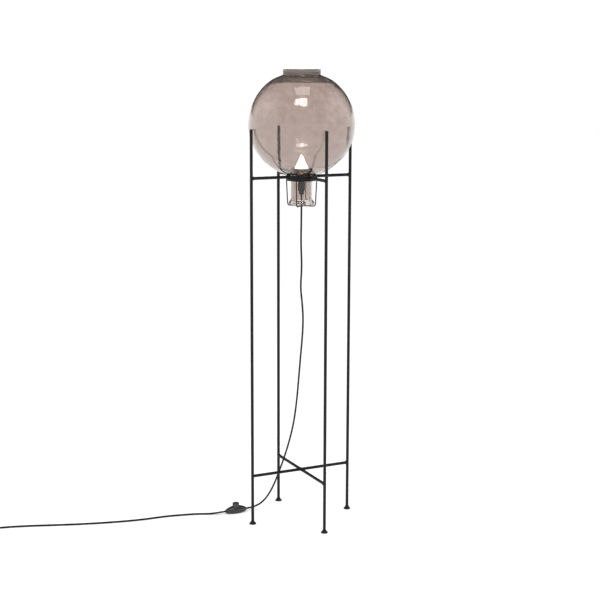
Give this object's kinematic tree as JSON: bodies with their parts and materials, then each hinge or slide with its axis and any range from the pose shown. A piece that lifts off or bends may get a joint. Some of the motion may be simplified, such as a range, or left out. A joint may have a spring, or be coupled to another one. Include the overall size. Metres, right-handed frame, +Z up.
{
  "type": "globe floor lamp",
  "caption": "Smoked glass globe held in a slim frame of round steel bar, with a candle bulb inside, and a mains cord with a foot switch and a plug.",
  "frame": {"origin": "on the floor, on the upright axis of the globe and its frame", "axes": "+Z up; the posts stand on the X and Y axes; the cord leaves towards -X"},
  "size_m": [1.0203, 0.4109, 1.2],
  "materials": {
    "powder_coated_steel": "fine satin powder coat",
    "foot": "satin powder coat",
    "smoked_glass": "polished, smoke brown",
    "carrier": "satin black, spun",
    "holder_plastic": "moulded, fine grain",
    "insert_ceramic": "moulded, pale",
    "brass": "drawn",
    "opal_glass": "opal white",
    "nickel": "nickel plate",
    "switch_plastic": "moulded, satin",
    "button_plastic": "moulded, satin",
    "bright_steel": "zinc plated",
    "cord_jacket": "extruded jacket",
    "plug_plastic": "moulded, fine grain"
  },
  "bodies": {
    "frame": {"post_left": "powder_coated_steel", "post_front": "powder_coated_steel", "post_right": "powder_coated_steel", "post_back": "powder_coated_steel", "arm_left": "powder_coated_steel", "arm_front": "powder_coated_steel", "arm_right": "powder_coated_steel", "arm_back": "powder_coated_steel", "cross_bar_long": "powder_coated_steel", "cross_bar_front": "powder_coated_steel", "cross_bar_back": "powder_coated_steel", "seat_ring": "powder_coated_steel", "foot_left": "foot", "foot_front": "foot", "foot_right": "foot", "foot_back": "foot", "basket_wire_back_right": "powder_coated_steel", "basket_wire_back_left": "powder_coated_steel", "basket_wire_front_left": "powder_coated_steel", "basket_wire_front_right": "powder_coated_steel", "cord_eye": "powder_coated_steel", "cord_drop": "cord_jacket", "cord_lead": "cord_jacket", "cord_coil": "cord_jacket", "switch_cover": "switch_plastic", "switch_base": "switch_plastic", "switch_screws": "bright_steel", "switch_terminal_block": "insert_ceramic", "switch_spring": "bright_steel", "plug_relief": "plug_plastic", "plug_body": "plug_plastic", "plug_pins": "nickel"},
    "globe": {"glass_globe": "smoked_glass", "holder_carrier": "carrier", "holder_sleeve": "holder_plastic", "holder_ring_nut": "holder_plastic", "holder_screw_shell": "brass", "holder_insert": "insert_ceramic", "holder_contact": "brass", "cord_grip": "holder_plastic", "bulb_glass": "opal_glass", "bulb_cap": "nickel", "bulb_contact": "nickel"},
    "switch_button": {"switch_button": "button_plastic"}
  },
  "joints": [
    {"name": "globe_lift", "type": "slide", "parent": "frame", "child": "globe", "axis": [0, 0, 1], "range_m": [0, 0.1]},
    {"name": "button_press", "type": "slide", "parent": "frame", "child": "switch_button", "axis": [0, 0, -1], "range_m": [0, 0.003], "stiffness_N_per_m": 500, "springref_m": -0.002, "deforming": ["switch_spring"]}
  ]
}
